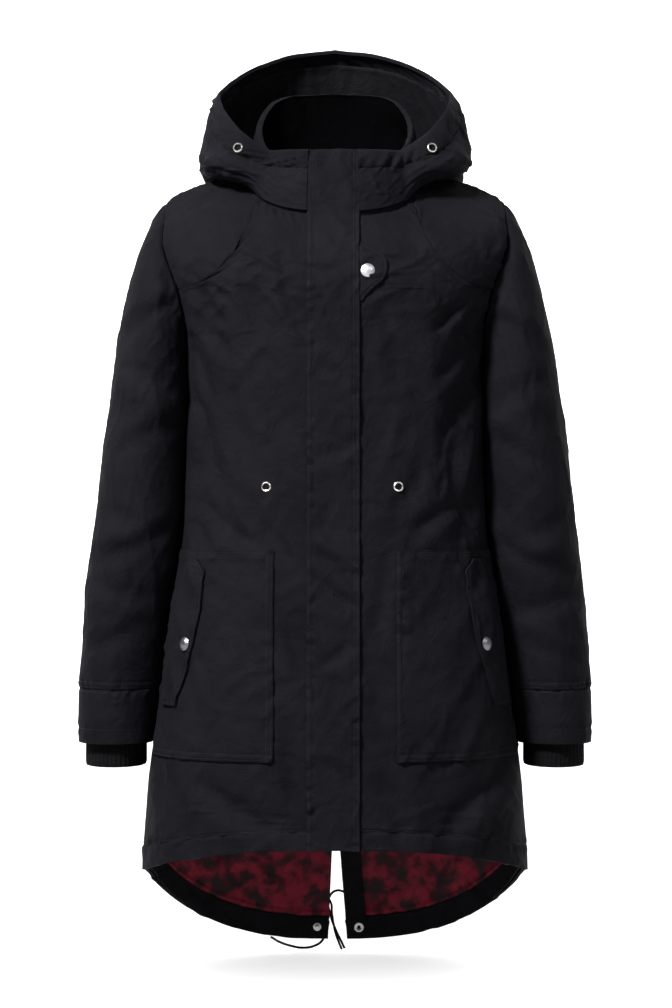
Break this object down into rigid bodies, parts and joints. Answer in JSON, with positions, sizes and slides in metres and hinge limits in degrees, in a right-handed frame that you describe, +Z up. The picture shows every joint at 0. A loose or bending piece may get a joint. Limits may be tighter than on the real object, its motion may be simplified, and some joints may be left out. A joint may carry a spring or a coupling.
{
  "type": "parka",
  "caption": "Long padded parka in worn form with nobody in it: hood lying back, covered front closure, patch pockets, knit cuffs and a vented fishtail hem.",
  "frame": {"origin": "middle of the coat at shoulder height, where the wearer's shoulders carry it", "axes": "+Z up, -Y the way the front faces, +X towards the left sleeve"},
  "size_m": [0.614, 0.3535, 1.128],
  "materials": {
    "canvas": "matte black padded cotton canvas with a faint sheen",
    "dark_lining": "smooth black lining and facing cloth",
    "blotched_lining": "dark red and black blotched lining cloth",
    "knit": "black rib knit",
    "cord": "black round cord",
    "bright_metal": "polished nickel",
    "dark_metal": "dark gunmetal"
  },
  "bodies": {
    "root": {"front_right": "canvas", "yoke_right": "canvas", "back_right": "canvas", "hem_band_front_right": "canvas", "hem_band_back_right": "canvas", "sleeve_right": "canvas", "cuff_band_right": "canvas", "pocket_right": "canvas", "pocket_flap_right": "canvas", "hood_right": "canvas", "front_left": "canvas", "yoke_left": "canvas", "back_left": "canvas", "hem_band_front_left": "canvas", "hem_band_back_left": "canvas", "sleeve_left": "canvas", "cuff_band_left": "canvas", "pocket_left": "canvas", "pocket_flap_left": "canvas", "hood_left": "canvas", "collar": "canvas", "hood_casing": "canvas", "placket": "canvas", "placket_tab": "canvas", "hood_lining": "dark_lining", "back_facing_right": "dark_lining", "back_facing_left": "dark_lining", "vent_facing": "dark_lining", "back_lining_right": "blotched_lining", "back_lining_left": "blotched_lining", "knit_cuff_right": "knit", "knit_cuff_left": "knit", "tab_snap": "bright_metal", "hem_snap_stud": "bright_metal", "hem_snap_socket": "bright_metal", "hood_eyelet_right": "bright_metal", "hood_eyelet_left": "bright_metal", "waist_eyelet_right": "dark_metal", "waist_eyelet_left": "dark_metal", "pocket_snap_right": "dark_metal", "pocket_snap_left": "dark_metal", "hem_cord_right": "cord", "hem_cord_left": "cord"}
  },
  "joints": []
}
